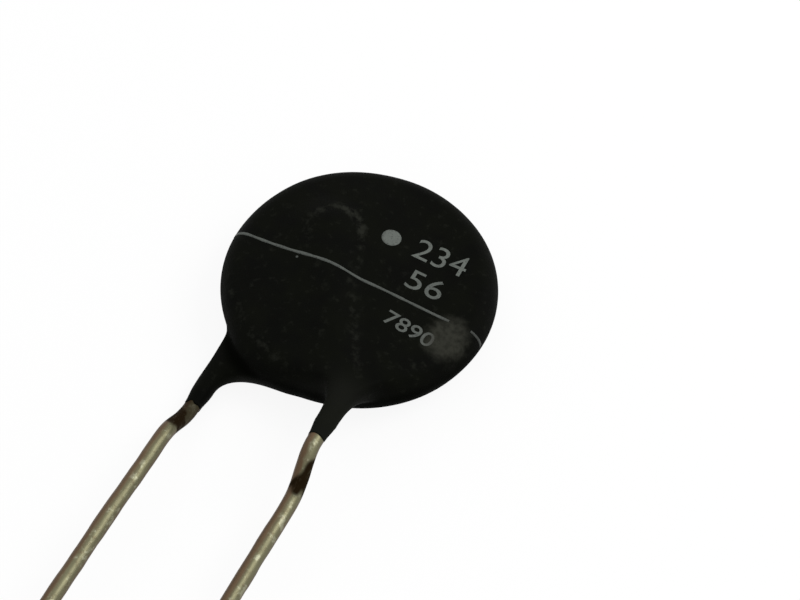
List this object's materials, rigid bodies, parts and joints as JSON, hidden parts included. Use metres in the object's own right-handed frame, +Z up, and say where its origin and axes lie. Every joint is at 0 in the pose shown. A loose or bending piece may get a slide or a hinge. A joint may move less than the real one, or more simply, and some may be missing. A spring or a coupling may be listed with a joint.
{
  "type": "ntc thermistor",
  "caption": "Round black disc thermistor with a dipped coating, humps over the soldered wires and tinned radial leads with an inward kink.",
  "frame": {"origin": "on the surface the part lies on, under the middle of its bounding box", "axes": "+Z up through the marked face, +Y from the leads towards the disc, +X to the right as the marking is read"},
  "size_m": [0.015, 0.04, 0.0038],
  "materials": {
    "coating": "matte black dipped resin, fine grained",
    "ceramic": "sintered metal oxide ceramic, dark grey and matt",
    "silver": "fired silver, satin",
    "solder": "solder, satin",
    "tinned_wire": "tinned copper wire, satin, slightly tarnished"
  },
  "bodies": {
    "root": {"coating": "coating", "ceramic_disc": "ceramic", "front_electrode": "silver", "back_electrode": "silver", "front_solder": "solder", "back_solder": "solder", "front_lead": "tinned_wire", "back_lead": "tinned_wire"}
  },
  "joints": []
}
